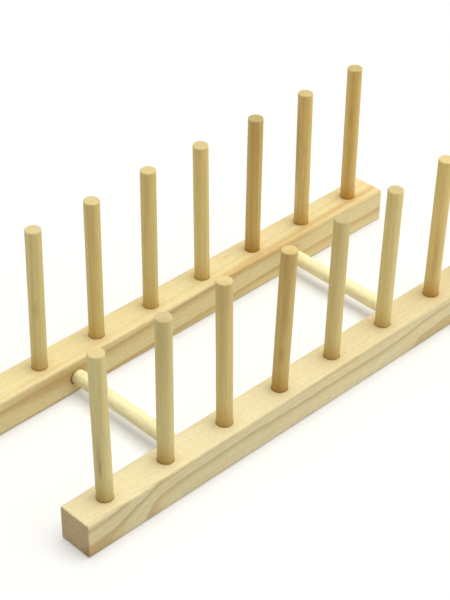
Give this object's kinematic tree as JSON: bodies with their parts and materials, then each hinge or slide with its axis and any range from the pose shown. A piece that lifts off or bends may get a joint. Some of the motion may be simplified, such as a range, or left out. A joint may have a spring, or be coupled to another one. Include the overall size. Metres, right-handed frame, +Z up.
{
  "type": "plate display stand",
  "caption": "Wooden stand that holds plates on edge in the slots between two rows of upright round pegs, on two square rails joined by cross dowels.",
  "frame": {"origin": "on the surface the stand rests on, under the middle of the stand", "axes": "+X along the rails, +Y from the front rail to the back rail, +Z up"},
  "size_m": [0.35, 0.1316, 0.1176],
  "materials": {
    "rail_pine": "planed and sanded unfinished pine with straight growth rings",
    "dowel_wood": "turned unfinished pine dowel, a little darker and browner than the rails"
  },
  "bodies": {
    "root": {"front_rail": "rail_pine", "back_rail": "rail_pine", "front_peg_1": "dowel_wood", "front_peg_2": "dowel_wood", "front_peg_3": "dowel_wood", "front_peg_4": "dowel_wood", "front_peg_5": "dowel_wood", "front_peg_6": "dowel_wood", "front_peg_7": "dowel_wood", "front_peg_8": "dowel_wood", "back_peg_1": "dowel_wood", "back_peg_2": "dowel_wood", "back_peg_3": "dowel_wood", "back_peg_4": "dowel_wood", "back_peg_5": "dowel_wood", "back_peg_6": "dowel_wood", "back_peg_7": "dowel_wood", "back_peg_8": "dowel_wood", "left_cross_dowel": "dowel_wood", "right_cross_dowel": "dowel_wood"}
  },
  "joints": []
}
